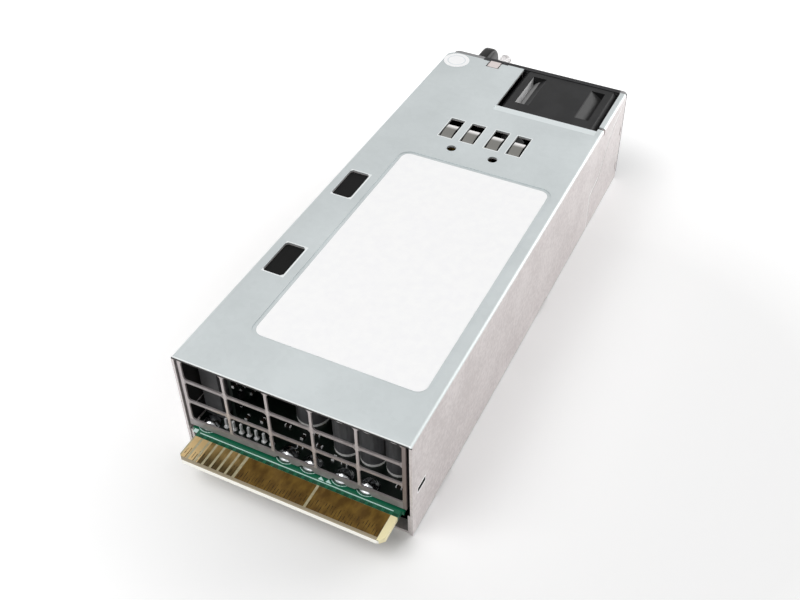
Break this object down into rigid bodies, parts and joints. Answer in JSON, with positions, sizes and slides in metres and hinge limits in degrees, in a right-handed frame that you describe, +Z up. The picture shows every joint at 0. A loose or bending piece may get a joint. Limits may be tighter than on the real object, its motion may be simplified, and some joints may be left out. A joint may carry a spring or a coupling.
{
  "type": "hot swap server power supply",
  "caption": "Long slim slide-in power module with a folded steel case, card edge tongue, vented end, cooling fan, mains inlet, D handle and sprung release lever.",
  "frame": {"origin": "underside of the case, in the middle of its width and of its length", "axes": "+Y along the module towards the card edge, +X across it towards the release lever's side, +Z up out of the cover"},
  "size_m": [0.0751, 0.2179, 0.0392],
  "materials": {
    "galvanised_steel": "galvanised sheet, mottled satin",
    "black_plastic": "fine moulded texture",
    "handle_plastic": "smooth moulded",
    "inlet_plastic": "moulded thermoset",
    "spring_steel": "bright rolled strip",
    "zinc_steel": "zinc plated",
    "nickel_brass": "nickel plated",
    "ground_steel": "ground",
    "ferrite": "pressed and sintered",
    "laminate_green": "solder mask over glass laminate",
    "gold_plate": "gold plated copper",
    "solder": "reflowed solder",
    "can_aluminium": "drawn and sleeved",
    "capacitor_sleeve": "heat shrunk sleeve",
    "sink_aluminium": "extruded",
    "copper": "enamelled copper",
    "film_yellow": "polyester tape",
    "epoxy_black": "moulded epoxy",
    "box_blue": "moulded case",
    "box_yellow": "moulded case",
    "fuse_ceramic": "ceramic tube",
    "clear_plastic": "clear moulded",
    "lamp_board": "laminate",
    "label_film": "coated label stock",
    "insulating_film": "insulating film",
    "lead_insulation": "flexible insulation",
    "plug_white": "moulded nylon"
  },
  "bodies": {
    "housing": {"chassis_base": "galvanised_steel", "top_cover": "galvanised_steel", "cover_screws": "zinc_steel", "rear_grille": "galvanised_steel", "front_panel": "black_plastic", "finger_guard": "zinc_steel", "fan_frame": "black_plastic", "fan_bearings": "ground_steel", "fan_stator": "ground_steel", "fan_screws": "zinc_steel", "inlet_housing": "inlet_plastic", "inlet_pins": "nickel_brass", "inlet_bracket": "galvanised_steel", "pull_handle": "handle_plastic", "handle_screws": "zinc_steel", "light_pipe": "clear_plastic", "status_lamp": "lamp_board", "pivot_pin": "zinc_steel", "lever_spring": "spring_steel", "main_board": "laminate_green", "board_standoffs": "nickel_brass", "board_screws": "zinc_steel", "base_insulator": "insulating_film", "signal_contacts": "gold_plate", "power_contacts": "gold_plate", "solder_mounds": "solder", "header_pins": "gold_plate", "output_capacitors": "can_aluminium", "filter_capacitor": "can_aluminium", "bulk_capacitor": "capacitor_sleeve", "control_card": "laminate_green", "control_card_parts": "epoxy_black", "output_relay": "epoxy_black", "transistor_heatsink": "sink_aluminium", "power_transistors": "epoxy_black", "pfc_choke_core": "ferrite", "pfc_choke_winding": "copper", "filter_choke_core": "ferrite", "filter_choke_winding": "copper", "transformer_core": "ferrite", "transformer_winding": "film_yellow", "resonant_choke": "film_yellow", "standby_transformer": "film_yellow", "output_bus_bars": "copper", "x_capacitor": "box_yellow", "inrush_relay": "box_blue", "mains_fuse": "fuse_ceramic", "rectifier_heatsink": "sink_aluminium", "bridge_rectifier": "epoxy_black", "inlet_leads": "lead_insulation", "fan_plug": "plug_white", "fan_leads": "lead_insulation", "contact_clips": "spring_steel", "lid_insulator": "insulating_film", "rating_label": "label_film", "round_sticker": "label_film"},
    "fan_rotor_body": {"fan_rotor": "black_plastic", "fan_shaft": "ground_steel"},
    "lever_body": {"release_lever": "spring_steel", "thumb_tab": "handle_plastic"}
  },
  "joints": [
    {"name": "fan_spin", "type": "hinge", "parent": "housing", "child": "fan_rotor_body", "pos_m": [-0.0148, -0.0765, 0.0195], "axis": [0, 1, 0], "continuous": true},
    {"name": "lever_press", "type": "hinge", "parent": "housing", "child": "lever_body", "pos_m": [0.0329, 0.03, 0.019], "axis": [0, 0, -1], "range_deg": [0, 1.4], "stiffness_Nm_per_rad": 8, "springref_deg": -2.29, "deforming": ["lever_spring"]}
  ]
}
